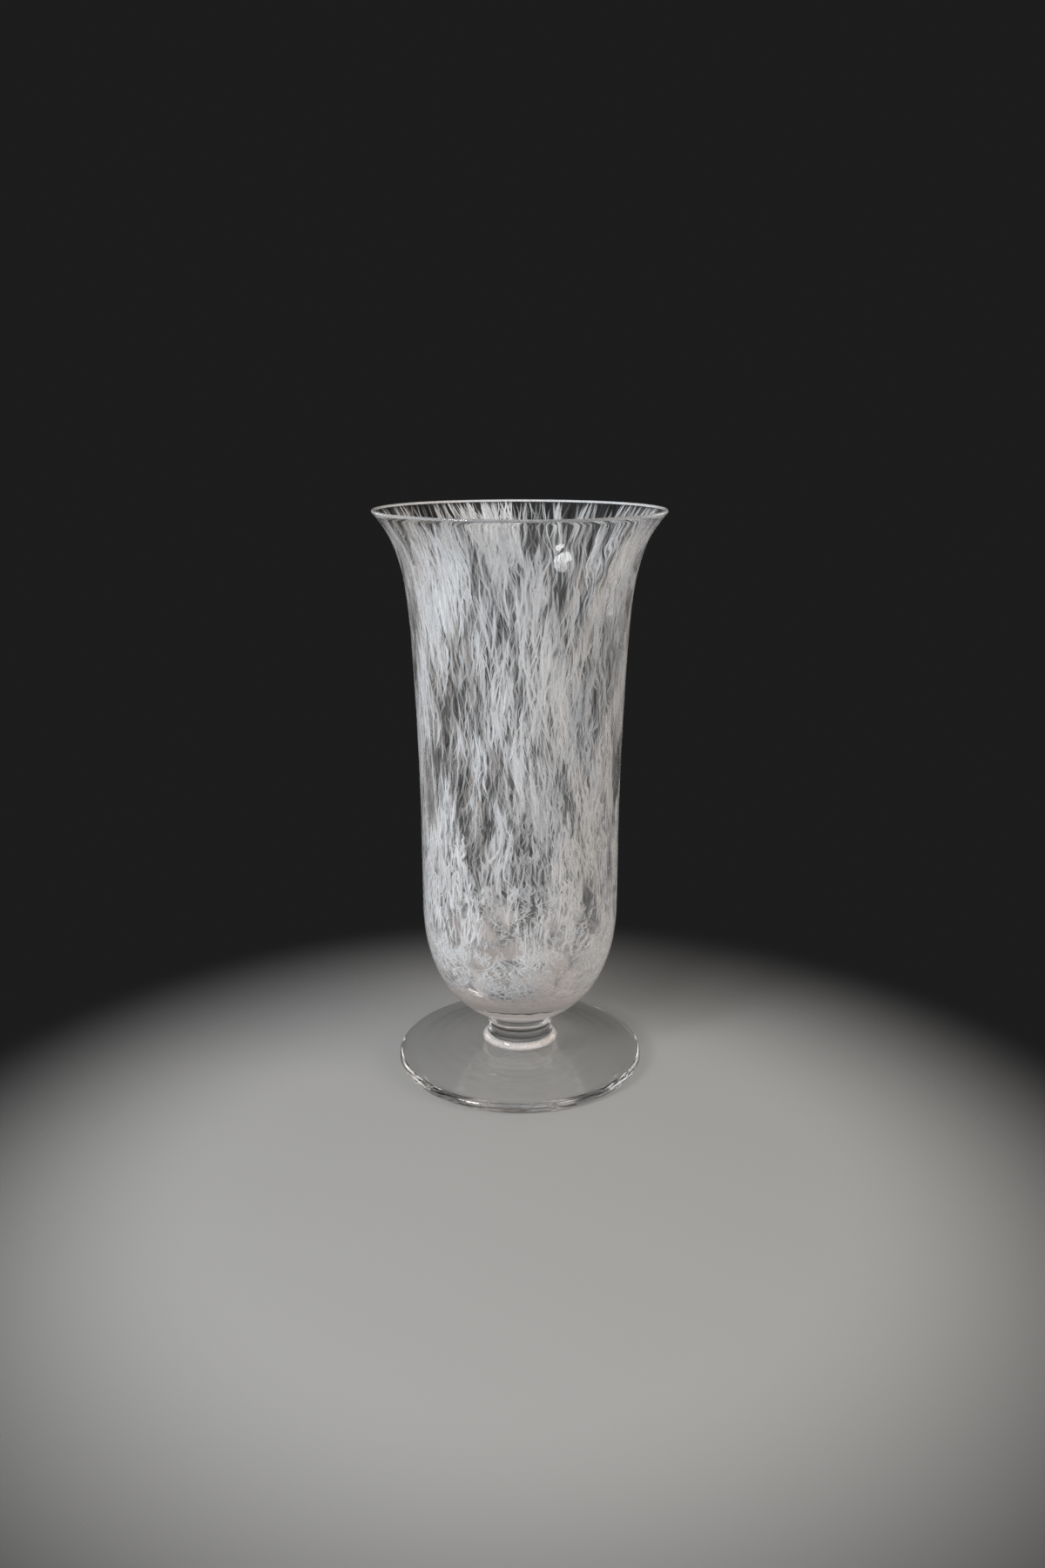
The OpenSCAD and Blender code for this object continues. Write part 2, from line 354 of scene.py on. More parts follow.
def drift(around, way):
    """Angle by which the drawn-out glass sways to one side on its way up the wall."""
    return waves(around, way, [
        (0.034, 2, 141 * MM, 0.4),
        (0.020, -3, 83 * MM, 2.1),
        (0.012, 5, 57 * MM, 4.4),
        (0.006, -9, 31 * MM, 1.3),
    ])


def cloud(around, way):
    """How dense the white glass is, from nought in the clearest gaps to one in the thickest patches: the
    hyperbolic tangent of a sum of waves that sway with the drift."""
    softness = 1.5
    sway = around - drift(around, way)
    total = waves(sway, way, [
        (0.9, 3, 173 * MM, 0.2),
        (1.0, -5, 97 * MM, 3.3),
        (0.9, 8, -71 * MM, 5.1),
        (0.8, 13, 59 * MM, 1.7),
        (0.7, -19, 43 * MM, 2.6),
        (0.6, 27, 37 * MM, 0.9),
    ])
    return 0.5 + 0.5 * np.tanh(total / softness)


def bare_patch(around, way):
    """One in the middle of a patch near the lip that caught few chips, falling off as a bell curve."""
    middle, half_wide = 5.08, 0.36
    middle_way, half_high = 197 * MM, 17 * MM
    beside = (np.mod(around, TURN) - middle) / half_wide
    above = (way - middle_way) / half_high
    return np.exp(-(beside**2) - above**2)


def wobble(around, way, face):
    """Slow unevenness of a blown face, about one high at most: a sum of waves with random phases."""
    phase = np.random.default_rng(FACE_SEEDS[face]).uniform(0, TURN, 6)
    return waves(around, way, [
        (0.34, 2, 160 * MM, phase[0]),
        (0.24, -4, 70 * MM, phase[1]),
        (0.16, 7, 41 * MM, phase[2]),
        (0.12, -11, 29 * MM, phase[3]),
        (0.14, 21, -17 * MM, phase[4]),
        (0.12, 31, 12 * MM, phase[5]),
    ])


def turned_points(r, z, around):
    """Points of a section turned about the axis, as rows of rings: x is r times the cosine of the angle
    round the vase, and y is r times its sine."""
    x, y, z = np.broadcast_arrays(r * np.cos(around), r * np.sin(around), z)
    return np.stack([x, y, z], axis=-1)


def section_normals(r, z):
    """Unit vectors square to a section, to the right of the way that it runs."""
    along_r, along_z = np.gradient(r), np.gradient(z)
    size = np.hypot(along_r, along_z)
    return along_z / size, -along_r / size


def put_mesh(name, points, faces, material, sharp_angle=None):
    """A new object with that mesh and finish, shaded smooth but for edges sharper than sharp_angle."""
    mesh = bpy.data.meshes.new(name)
    mesh.from_pydata(points.reshape(-1, 3), [], faces)
    mesh.materials.append(material)
    mesh.shade_smooth()
    if sharp_angle is not None:
        mesh.set_sharp_from_angle(angle=sharp_angle)
    mesh.update()
    piece = bpy.data.objects.new(name, mesh)
    bpy.context.scene.collection.objects.link(piece)
    return piece


def ring_quads(rows, steps):
    """Faces between neighbouring rings of points, each joined round its seam."""
    row, step = np.meshgrid(np.arange(rows - 1), np.arange(steps), indexing="ij")
    here = row * steps + step
    beside = row * steps + (step + 1) % steps
    return np.stack([here, beside, beside + steps, here + steps], axis=-1).reshape(-1, 4)


def turned_solid(name, points, material):
    """A closed piece from rings of points. The first and the last ring are each a point on the axis."""
    rows, steps = points.shape[:2]
    first = np.arange(steps)
    last = (rows - 3) * steps + first
    low = (rows - 2) * steps
    fans = np.concatenate([
        np.stack([np.full(steps, low), (first + 1) % steps, first], axis=-1),
        np.stack([last, (rows - 3) * steps + (first + 1) % steps, np.full(steps, low + 1)], axis=-1),
    ])
    vertices = np.concatenate([points[1:-1].reshape(-1, 3), points[[0, -1], 0]])
    faces = ring_quads(rows - 2, steps).tolist() + fans.tolist()
    return put_mesh(name, vertices, faces, material, SHARP_EDGE)


def turned_band(name, points, material):
    """A closed piece from rings of points that run round a section and join up with the first."""
    rows, steps = points.shape[:2]
    faces = ring_quads(rows + 1, steps) % (rows * steps)
    return put_mesh(name, points, faces, material)


def angles_round(steps):
    """Angles round the vase, as one row."""
    return np.linspace(0, TURN, steps, endpoint=False)[None, :]


def give_numbers(piece, name, values):
    """Stores one number or vector for each point of the piece, for its material to read."""
    kind, key = ("FLOAT", "value") if values.ndim == 1 else ("FLOAT_VECTOR", "vector")
    layer = piece.data.attributes.new(name, kind, "POINT")
    layer.data.foreach_set(key, np.ascontiguousarray(values, np.float32).ravel())


def face_vectors(mesh, name):
    """That vector of each face of a mesh, such as its centre, as rows."""
    values = np.empty(len(mesh.polygons) * 3)
    mesh.polygons.foreach_get(name, values)
    return values.reshape(-1, 3)


def mark_joint(piece, *heights):
    """Gives the flat discs at those heights the look of a fused joint, in the piece's second slot."""
    flat_from, same_height = 0.999, 0.01 * MM
    mesh = piece.data
    mesh.materials.append(bpy.data.materials.get("fused_joint") or fused_joint())
    flat = np.abs(face_vectors(mesh, "normal")[:, 2]) > flat_from
    z = face_vectors(mesh, "center")[:, 2]
    near = np.min([np.abs(z - height) for height in heights], axis=0) < same_height
    mesh.polygons.foreach_set("material_index", (flat & near).astype(np.int32))


def finish_piece(piece, slot, *nodes):
    """Sets the piece on the vase's body in place of its CAD nodes, which it hides. The slot is not used.
    """
    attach(piece, "root")
    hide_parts(*nodes)


class Shader:
    """A new material, or the nodes of a world, with short calls that add a node and join its inputs."""

    def __init__(self, name, world=None):
        self.owner = world or bpy.data.materials.new(name)
        self.output = "OutputWorld" if world else "OutputMaterial"
        self.owner.use_nodes = True
        self.tree = self.owner.node_tree
        self.tree.nodes.clear()

    def add(self, kind, inputs=None, **settings):
        """Adds a node, sets its settings, and sets or joins its inputs, named or numbered."""
        node = self.tree.nodes.new("ShaderNode" + kind)
        for name, value in settings.items():
            setattr(node, name, value)
        for name, value in (inputs or {}).items():
            if isinstance(value, bpy.types.NodeSocket):
                self.tree.links.new(value, node.inputs[name])
            else:
                node.inputs[name].default_value = value
        return node

    def maths(self, operation, first, second):
        """One step of arithmetic on two numbers or sockets."""
        return self.add("Math", {0: first, 1: second}, operation=operation).outputs[0]

    def spread(self, value, low, high, to_low=0.0, to_high=1.0):
        """Value from low to high made a smooth step from to_low to to_high."""
        ends = {"From Min": low, "From Max": high, "To Min": to_low, "To Max": to_high}
        node = self.add("MapRange", {"Value": value, **ends}, interpolation_type="SMOOTHSTEP")
        return node.outputs["Result"]

    def noise(self, place, scale, stretch=(1, 1, 1), detail=2.0, roughness=0.5, distortion=0.0):
        """Cloudy noise with scale cells to the metre, squeezed along each axis by stretch."""
        return self.add("TexNoise", {
            "Vector": self.add("Mapping", {"Vector": place, "Scale": stretch}).outputs["Vector"],
            "Scale": scale,
            "Detail": detail,
            "Roughness": roughness,
            "Distortion": distortion,
        }).outputs[0]

    def height(self, place):
        """The third number of a place: how far up the vase it is."""
        return self.add("SeparateXYZ", {0: place}).outputs[2]

    def blend(self, factor, first, second):
        """First number, and second by the factor."""
        return self.add("Mix", {0: factor, 2: first, 3: second}).outputs[0]

    def tone(self, factor, first, second):
        """First colour, and second by the factor."""
        colours = {0: factor, 6: (*first, 1), 7: (*second, 1)}
        return self.add("Mix", colours, data_type="RGBA").outputs[2]

    def glass(self, look, roughness, height, dent_h, strength=1.0):
        """Clear glass with that roughness, whose surface rises and falls by dent_h with the height."""
        bump = self.add("Bump", {"Strength": strength, "Distance": dent_h, "Height": height})
        return self.add("BsdfPrincipled", {
            "Base Color": (*look.tint, 1),
            "Roughness": roughness,
            "IOR": look.ior,
            "Transmission Weight": 1.0,
            "Normal": bump.outputs["Normal"],
        }).outputs[0]

    def matt(self, tint, roughness, specular):
        """A surface of that tint with a weak gloss."""
        inputs = {"Base Color": tint, "Roughness": roughness, "Specular IOR Level": specular}
        return self.add("BsdfPrincipled", inputs).outputs[0]

    def clear(self, tint=(1, 1, 1, 1)):
        """Nothing, or a tint on what is behind."""
        return self.add("BsdfTransparent", {"Color": tint}).outputs[0]

    def mix(self, factor, first, second):
        """First shader, and second by the factor."""
        return self.add("MixShader", {0: factor, 1: first, 2: second}).outputs[0]

    def show(self, shader):
        """Makes that shader the surface of the material or world."""
        self.add(self.output, {"Surface": shader})
        return self.owner


def clear_glass(name, look, dent_h, dents_to_metre, smooth_from=1.0):
    """Fire-polished glass with slow dents that die out above the height smooth_from, and faint smears.
    Lamps and light from diffuse surfaces go straight through, so that they reach the white glass inside
    it, but a lamp's light dims where it meets the glass on a slant."""
    shader = Shader(name)
    place = shader.add("TexCoord").outputs["Object"]
    smear = shader.noise(place, 160, detail=4.0)
    roughness = shader.spread(smear, 0.45, 0.75, 0.0, 0.006)
    dented = shader.spread(shader.height(place), smooth_from, smooth_from + 10 * MM, 1.0, 0.0)
    dents = shader.noise(place, dents_to_metre, stretch=(1, 1, 0.6), detail=1.0)
    glass = shader.glass(look, roughness, shader.maths("MULTIPLY", dents, dented), dent_h)
    path = shader.add("LightPath")
    slant = shader.add("LayerWeight", {"Blend": 0.5}).outputs["Facing"]
    channels = {n: shader.spread(slant, 0.35, 0.95, 0.95, 0.3) for n in range(3)}
    passed = shader.add("CombineColor", channels).outputs[0]
    glass = shader.mix(path.outputs["Is Shadow Ray"], glass, shader.clear(passed))
    return shader.show(shader.mix(path.outputs["Is Diffuse Ray"], glass, shader.clear((*look.tint, 1))))


def fused_joint():
    """Where two pieces of glass are fused, nothing shows."""
    shader = Shader("fused_joint")
    return shader.show(shader.clear())


def ground_glass(look):
    """Glass that was ground on a wheel: grey and matt, with fine grit marks."""
    shader = Shader("ground_glass")
    place = shader.add("TexCoord").outputs["Object"]
    grit = shader.noise(place, 2600, detail=3.0)
    roughness = shader.spread(grit, 0.3, 0.7, 0.35, 0.6)
    return shader.show(shader.glass(look, roughness, grit, 0.05 * MM, strength=0.5))


def white_shader(shader, white, hides, lets_through):
    """White glass that sends light back and lets a share of it through, and that hides what is behind
    it by the number or socket hides."""
    through = shader.add("BsdfTranslucent", {"Color": white}).outputs[0]
    body = shader.mix(lets_through, shader.matt(white, 0.55, 0.1), through)
    return shader.show(shader.mix(hides, shader.clear(), body))


def white_glass(name, white, thin_white):
    """White glass that hides what is behind it by its points' fullness, with fine lines up the vase."""
    shader = Shader(name)
    place = shader.add("TexCoord").outputs["Object"]
    fullness = shader.add("Attribute", attribute_name="fullness").outputs["Fac"]
    lines = shader.noise(place, 1500, stretch=(1, 1, 0.08))
    lined = shader.spread(lines, 0.3, 0.6, 0.7, 1.1)
    hides = shader.maths("MINIMUM", shader.maths("MULTIPLY", fullness, lined), 0.97)
    tone = shader.tone(shader.noise(place, 90, stretch=(1, 1, 0.3)), white, thin_white)
    return white_shader(shader, tone, hides, lets_through=0.1)


def milky_glass(look, low, top):
    """White glass smeared out to a veil. Threads run along the wall, where patches of haze come and go.
    Towards the bottom the threads give way to soft smears, and just above low the veil is even. It
    thins out below top."""
    even, smeared, thinned = (7 * MM, 14 * MM), (26 * MM, 40 * MM), 14 * MM
    even_white, smear_white = 3.2, 2.9
    shader = Shader("milky_glass")
    place = shader.add("Attribute", attribute_name="wall_place").outputs["Vector"]
    patch = shader.add("Attribute", attribute_name="cloud").outputs["Fac"]
    up = shader.height(place)
    fine = shader.noise(place, 1250, stretch=(1, 1, 0.075), detail=3.0, roughness=0.6)
    broad = shader.noise(place, 430, (1, 1, 0.09), detail=3.0, roughness=0.55, distortion=0.3)
    soft = shader.noise(place, 120, stretch=(1, 1, 0.3))
    threads = shader.maths("MULTIPLY", shader.spread(fine, 0.44, 0.60), 0.6)
    bands = shader.maths("MULTIPLY", shader.spread(broad, 0.46, 0.60), 0.4)
    drawn = shader.maths("ADD", shader.maths("ADD", threads, bands), 0.08)
    soft_share = shader.spread(soft, 0.3, 0.65, 0.4, 1.0)
    haze = shader.maths("MULTIPLY", soft_share, shader.spread(patch, 0, 1, 0.35, 1.0))
    smears = shader.noise(place, 75, stretch=(1, 1, 0.7))
    smears = shader.spread(smears, 0.46, 0.62, 0.05, smear_white)
    bottom = shader.spread(up, low + smeared[0], low + smeared[1], 1.0, 0.0)
    hides = shader.blend(bottom, shader.maths("MULTIPLY", drawn, haze), smears)
    lowest = shader.spread(up, low + even[0], low + even[1], 1.0, 0.0)
    hides = shader.blend(lowest, hides, even_white)
    hides = shader.maths("MULTIPLY", hides, look.haze)
    hides = shader.maths("MULTIPLY", hides, shader.spread(up, top - thinned, top, 1.0, 0.3))
    tone = shader.tone(bottom, look.thin_white, look.base_and_fillet_highlight_white)
    return white_shader(shader, tone, hides, lets_through=0.3)


class SliverKind(NamedTuple):
    """One kind of white sliver: how many, the longest and widest, the ways between which their middles
    lie, how much they lean, bow and swing, their rings of corners, how full they are, and whether they
    get smaller down the bowl."""

    name: str
    number: int
    longest: float
    widest: float
    low: float
    high: float
    slant: float
    curl: float
    wave: float
    rings: int
    fuller: float = 1.0
    shrinks: bool = True


def scatter(outline, chance, number, low, high):
    """Ways and angles, as columns, of number places on the white layer between two ways. A draw is kept
    with a chance that grows with the layer's radius there, which spreads the places evenly over its
    area, and with the cloud. The chance falls in the bare patch, and halves towards the lip. The white's
    lower edge lies higher at the front."""
    draws_each, least, bare, lip_loss, lip_h = 12, 0.18, 0.8, 0.5, 14 * MM
    edge_h, edge_least = 17 * MM, 0.35
    draws = number * draws_each
    way = chance.uniform(low, high, draws)
    around = chance.uniform(0, TURN, draws)
    radius = outline.layer_point(way)[0]
    wanted = radius / radius.max() * (least + (1 - least) * cloud(around, way))
    wanted *= 1 - bare * bare_patch(around, way)
    wanted *= 1 - lip_loss * np.clip((way - outline.white_top) / lip_h + 1, 0, 1)
    forward = np.sqrt(0.5 - 0.5 * np.sin(around))
    edge = outline.layer_low + edge_h * (edge_least + (1 - edge_least) * forward)
    kept = np.flatnonzero((chance.uniform(0, 1, draws) < wanted) & (way > edge))[:number]
    return way[kept, None], around[kept, None]


def sliver_faces(rings):
    """Triangles of one sliver: its lower tip, rings of four corners each and its upper tip."""
    corner = np.arange(4)
    beside = (corner + 1) % 4
    top = 4 * rings + 1
    ring = 1 + 4 * np.arange(rings - 1)[:, None]
    a, b = ring + corner, ring + beside
    sides = np.concatenate([np.stack([a, b, b + 4], -1), np.stack([a, b + 4, a + 4], -1)])
    lower = np.stack([np.zeros(4, int), 1 + beside, 1 + corner], -1)
    upper = np.stack([np.full(4, top), top - 4 + corner, top - 4 + beside], -1)
    return np.concatenate([lower, sides.reshape(-1, 3), upper])


def slivers(
    kind, material, outline, way, around, long, wide, slant, curl, wave, pitch, inward, strength
):
    """Flat slivers of glass with pointed ends, all in one piece. Every array given is a column.

    Each follows the drift of the drawn-out glass through its middle, leaning by its slant, bowed by its
    curl and swinging by a sine wave of that height and pitch. It is widest and thickest at its middle, as
    a power of the sine along it, and its white fades to its ends and edges. Near the lip at the front its
    white is thinned, as painted shade on the near side of the lip. Rings of four corners lie to the
    outside, the left, the inside and the right of that line. What would pass the ends of the layer is cut
    off.
    """
    swell_power, fade_from, fade_over = 0.7, 0.14, 0.72
    edge_white, front_lip_shade, front_h = 0.35, 0.75, 3 * MM
    number = len(way)
    low = np.clip((outline.layer_low - way) / long + 0.5, 0, 1)
    high = np.clip((outline.white_top - way) / long + 0.5, 0, 1)
    along = low + (high - low) * np.linspace(0, 1, kind.rings + 2)[None, :]
    ways = way + long * (along - 0.5)
    swell = np.sin(math.pi * along) ** swell_power
    r, z = outline.layer_point(ways, inward)
    sway = drift(around, ways) - drift(around, way)
    lean = slant * (along - 0.5) + curl * (np.sin(math.pi * along) - 0.5)
    swing = wave * np.sin(TURN * (ways / pitch + around))
    turn = around + sway + (lean * long + swing) / r
    deep = outline.layer_t / 4 * swell
    side = wide / 2 * swell / r
    corners = np.stack([
        turned_points(*outline.layer_point(ways, inward - deep), turn),
        turned_points(r, z, turn + side),
        turned_points(*outline.layer_point(ways, inward + deep), turn),
        turned_points(r, z, turn - side),
    ], axis=2)
    middle = turned_points(r, z, turn)
    rings = corners[:, 1:-1].reshape(number, -1, 3)
    points = np.concatenate([middle[:, :1], rings, middle[:, -1:]], axis=1)
    # Near the lip at the front the white is thinned, as painted shade on the near side of the lip.
    near_lip = np.clip((ways - outline.white_top) / front_h + 1, 0, 1)
    front = np.clip(-np.sin(turn), 0, 1) * near_lip
    white = strength * np.sin(math.pi * (fade_from + fade_over * along)) ** swell_power
    white = white * (1 - front_lip_shade * front)
    rings_white = white[:, 1:-1, None] * np.array([1, edge_white, 1, edge_white])
    tips_white = edge_white * white[:, [0, -1]]
    white = [tips_white[:, :1], rings_white.reshape(number, -1), tips_white[:, 1:]]
    faces = sliver_faces(kind.rings)[None] + (np.arange(number) * points.shape[1])[:, None, None]
    piece = put_mesh(kind.name, points, faces.reshape(-1, 3), material, SHARP_SLIVER)
    give_numbers(piece, "fullness", np.concatenate(white, axis=1).ravel())
    return piece


class VASE_OT_bowl(bpy.types.Operator):
    """Makes the bowl's clear glass: its closed section turned about the axis, each point moved square to
    it by the wobble, which dies out by the seat, the axis and the lip. The outer face only sinks."""

    bl_idname = "vase.bowl"
    bl_label = "Bowl"

    def execute(self, context):
        scene = context.scene
        outline, look = bowl_outline(scene), scene.vase_glass
        seat_fade, axis_fade, lip_fade = 4 * MM, 8 * MM, 6 * MM
        dent_h, dents_to_metre, smooth_h = 0.09 * MM, 130, 14 * MM
        r, z = outline.section()
        normal_r, normal_z = section_normals(r, z)
        around = angles_round(look.steps_round)
        inside = np.arange(len(r)) > len(r) // 2
        inner = wobble(around, z[:, None], "inside")
        outer = 0.5 * (wobble(around, z[:, None], "outside") - 1)
        from_seat = np.clip((r - outline.seat_r) / seat_fade, 0, 1)
        from_axis = np.where(inside, np.clip(r / axis_fade, 0, 1), from_seat)
        from_lip = np.clip((outline.layer_top - z) / lip_fade, 0, 1)
        move = look.wobble * np.where(inside[:, None], inner, outer) * (from_axis * from_lip)[:, None]
        points = turned_points(
            r[:, None] + normal_r[:, None] * move,
            z[:, None] + normal_z[:, None] * move,
            around,
        )
        glass = clear_glass("bowl_glass", look, dent_h, dents_to_metre, outline.lip_z - smooth_h)
        piece = turned_solid("bowl_glass", points, glass)
        mark_joint(piece, scene.vase_bowl.seat_z)
        finish_piece(piece, "clear_casing", "bowl_lining", "bowl_casing")
        return {"FINISHED"}


class VASE_OT_stem(bpy.types.Operator):
    """Makes the stem: an arc of a circle draws it in to its waist, and a quarter of a circle runs out
    onto the foot."""

    bl_idname = "vase.stem"
    bl_label = "Stem"

    def execute(self, context):
        scene = context.scene
        bowl, foot, look = scene.vase_bowl, scene.vase_foot, scene.vase_glass
        waist_points, fillet_points, steps = 22, 14, 192
        glass = clear_glass("stem_glass", look, 0.03 * MM, 55)
        seat_r, stem_r, fillet_r = bowl.seat_d / 2, foot.stem_d / 2, foot.stem_fillet_r
        foot_r, fillet_top = seat_r + fillet_r, foot.seat_z + fillet_r
        half = (bowl.seat_z - fillet_top) / 2
        sag = seat_r - stem_r
        curve_r = (half**2 + sag**2) / (2 * sag)
        rise = np.linspace(-half, half, waist_points)
        turn = np.linspace(0, math.pi / 2, fillet_points)
        r, z = joined([
            level(np.linspace(0, foot_r, DISC_POINTS)[:-1], foot.seat_z),
            (foot_r - fillet_r * np.sin(turn), fillet_top - fillet_r * np.cos(turn)),
            (stem_r + curve_r - np.sqrt(curve_r**2 - rise**2), fillet_top + half + rise),
            level(np.linspace(seat_r, 0, DISC_POINTS), bowl.seat_z),
        ])
        distinct = np.append(True, np.hypot(np.diff(r), np.diff(z)) > 1e-4 * MM)
        points = turned_points(r[distinct, None], z[distinct, None], angles_round(steps))
        piece = turned_solid("stem_glass", points, glass)
        mark_joint(piece, foot.seat_z, bowl.seat_z)
        finish_piece(piece, "clear_stem", "stem")
        return {"FINISHED"}


class VASE_OT_foot(bpy.types.Operator):
    """Makes the shallow foot: a parabola and the ground mark's arc underneath, a flat standing ring, a
    half round rim, and a straight line up to the stem that touches the rim's circle. Sine ripples round
    the axis and a slow sag lie on its top, and die out at the rim and the stem."""

    bl_idname = "vase.foot"
    bl_label = "Foot"

    def execute(self, context):
        scene = context.scene
        bowl, foot, look = scene.vase_bowl, scene.vase_foot, scene.vase_glass
        hollow_points, ring_points, rim_points, top_points = 60, 5, 40, 110
        ripple_sway = 0.6 * MM
        glass = clear_glass("foot_glass", look, 0.05 * MM, 55)
        rim_r = foot.rim_t / 2
        rim_mid = foot.foot_d / 2 - rim_r
        stem_foot_r = bowl.seat_d / 2 + foot.stem_fillet_r
        span, fall = rim_mid - stem_foot_r, foot.seat_z - rim_r
        slope = math.atan(fall / span) - math.asin(rim_r / math.hypot(span, fall))
        ring_r = rim_mid - foot.ring_w
        mark_r = foot.pontil_d / 2
        curve_r = (mark_r**2 + foot.pontil_h**2) / (2 * foot.pontil_h)
        mark_mid = foot.hollow_h + foot.pontil_h - curve_r
        out = np.linspace(0, ring_r, hollow_points)
        hollow = foot.hollow_h * (1 - (out / ring_r) ** 2)
        mark = mark_mid + np.sqrt(np.maximum(curve_r**2 - out**2, 0))
        turn = np.linspace(-math.pi / 2, math.pi / 2 - slope, rim_points)
        rim_end = (rim_mid + rim_r * math.sin(slope), rim_r + rim_r * math.cos(slope))
        up = np.linspace(0, 1, top_points)[1:]
        top = [
            rim_end[0] + (stem_foot_r - rim_end[0]) * up,
            rim_end[1] + (foot.seat_z - rim_end[1]) * up,
        ]
        below_top = joined([
            (out, np.where(out < mark_r, np.maximum(hollow, mark), hollow)),
            level(np.linspace(ring_r, rim_mid, ring_points)[1:-1], 0.0),
            (rim_mid + rim_r * np.cos(turn), rim_r + rim_r * np.sin(turn)),
        ])
        seat = level(np.linspace(stem_foot_r, 0, DISC_POINTS)[1:], foot.seat_z)
        r, z = [values[:, None] for values in joined([below_top, top, seat])]
        first_top = len(below_top[0])
        on_top = np.zeros((len(r), 1))
        on_top[first_top:first_top + len(up), 0] = np.sin(math.pi * up) ** 0.5
        around = angles_round(look.steps_round)
        ripple_r = r + ripple_sway * wobble(around, r, "ripples")
        ripple = np.sin(TURN * ripple_r / foot.ripple_pitch) - 1
        sag = wobble(around, 2 * r, "foot") - 1
        z = z + on_top * (foot.ripple_h * ripple + 0.5 * look.wobble * sag)
        piece = turned_solid("foot_glass", turned_points(r, z, around), glass)
        mark_joint(piece, foot.seat_z)
        piece.data.materials.append(ground_glass(look))
        self.grind(piece.data, mark_r, foot.seat_z / 2)
        finish_piece(piece, "clear_foot", "foot")
        return {"FINISHED"}

    def grind(self, mesh, mark_r, below_z):
        """Gives the faces of the mark under the foot their ground finish, in the piece's third slot."""
        ground = 2
        x, y, z = face_vectors(mesh, "center").T
        slots = np.empty(len(mesh.polygons), np.int32)
        mesh.polygons.foreach_get("material_index", slots)
        slots[(np.hypot(x, y) < mark_r) & (z < below_z)] = ground
        mesh.polygons.foreach_set("material_index", slots)


class VASE_OT_streaks(bpy.types.Operator):
    """Makes the white glass that was drawn out in the wall: broad streaks, fine threads and curls."""

    bl_idname = "vase.streaks"
    bl_label = "White streaks"

    def execute(self, context):
        scene = context.scene
        look = scene.vase_streaks
        outline = bowl_outline(scene)
        chance = np.random.default_rng(look.seed)
        material = white_glass("streak_glass", look.white, look.thin_white)
        for kind in self.kinds(look, outline):
            piece = self.strewn(kind, material, look, outline, chance)
            finish_piece(piece, "white_glass", "white_streaks")
        return {"FINISHED"}

    def kinds(self, look, outline):
        """The four kinds of slivers. Streaks and threads give way to curls below the shoulder."""
        shoulder, top = outline.bowl.shoulder_z, outline.white_top
        mixed = shoulder - 12 * MM
        curls_top, bottom_top = shoulder + 34 * MM, mixed + 4 * MM
        curls = (look.curl_count, look.curl_len, look.curl_w)
        return [
            SliverKind(
                "broad_streaks", look.streak_count, look.streak_len, look.streak_w, mixed, top,
                slant=0.12, curl=0.06, wave=0.12, rings=5,
            ),
            SliverKind(
                "fine_threads", look.thread_count, look.thread_len, look.thread_w, mixed, top,
                slant=0.20, curl=0.10, wave=0.20, rings=4,
            ),
            SliverKind(
                "shoulder_curls", *curls, mixed, curls_top,
                slant=0.28, curl=0.15, wave=0.5, rings=9, shrinks=False,
            ),
            SliverKind(
                "bottom_curls", *curls, outline.layer_low, bottom_top,
                slant=0.7, curl=0.7, wave=1.0, rings=9, fuller=1.35, shrinks=False,
            ),
        ]

    def strewn(self, kind, material, look, outline, chance):
        """The slivers of that kind, strewn at random. They get smaller down the bowl if their kind does,
        larger in the flare, and less white on the milky side, where the smoother look is partly painted
        light from the right."""
        least_shrunk, full_size_h, flare_stretch, lit_side_white_loss = 0.3, 25 * MM, 0.6, 0.4
        way, around = scatter(outline, chance, kind.number, kind.low, kind.high)
        column = way.shape
        full_size_run = outline.bowl.shoulder_z + full_size_h - outline.layer_low
        grown = np.clip((way - outline.layer_low) / full_size_run, least_shrunk, 1)
        scale = (grown if kind.shrinks else 1.0) * (1 + flare_stretch * outline.risen(way) ** 2)
        # Less white towards the milky side: partly uneven white glass, partly painted light from the
        # right.
        milky = np.clip(np.cos(around + look.milky_lit_side), 0, 1)
        return slivers(
            kind, material, outline, way, around,
            long=kind.longest * scale * self.sizes(chance, 1.6, 2.2, column),
            wide=kind.widest * np.sqrt(scale) * self.sizes(chance, 1.5, 2.5, column),
            slant=kind.slant * chance.normal(0, 1, column),
            curl=kind.curl * chance.normal(0, 1, column),
            wave=kind.wave * look.wave_h * chance.uniform(0.3, 1, column),
            pitch=look.wave_pitch * chance.uniform(0.7, 1.6, column),
            inward=outline.layer_t / 5 * chance.uniform(-1, 1, column),
            strength=kind.fuller * self.strengths(chance, way, around) * (1 - lit_side_white_loss * milky),
        )

    def sizes(self, chance, first, second, column):
        """Random shares of the largest size, from the beta distribution of those two numbers."""
        least = 0.3
        return least + (1 - least) * chance.beta(first, second, column)

    def strengths(self, chance, way, around):
        """How white each sliver is: a beta draw that leaves most thin and a few full, times 0.36 in the
        cloud's gaps to 1.3 in its thick patches."""
        drawn = 0.15 + 0.95 * chance.beta(0.75, 1.25, way.shape)
        return drawn * (0.36 + 0.94 * cloud(around, way))


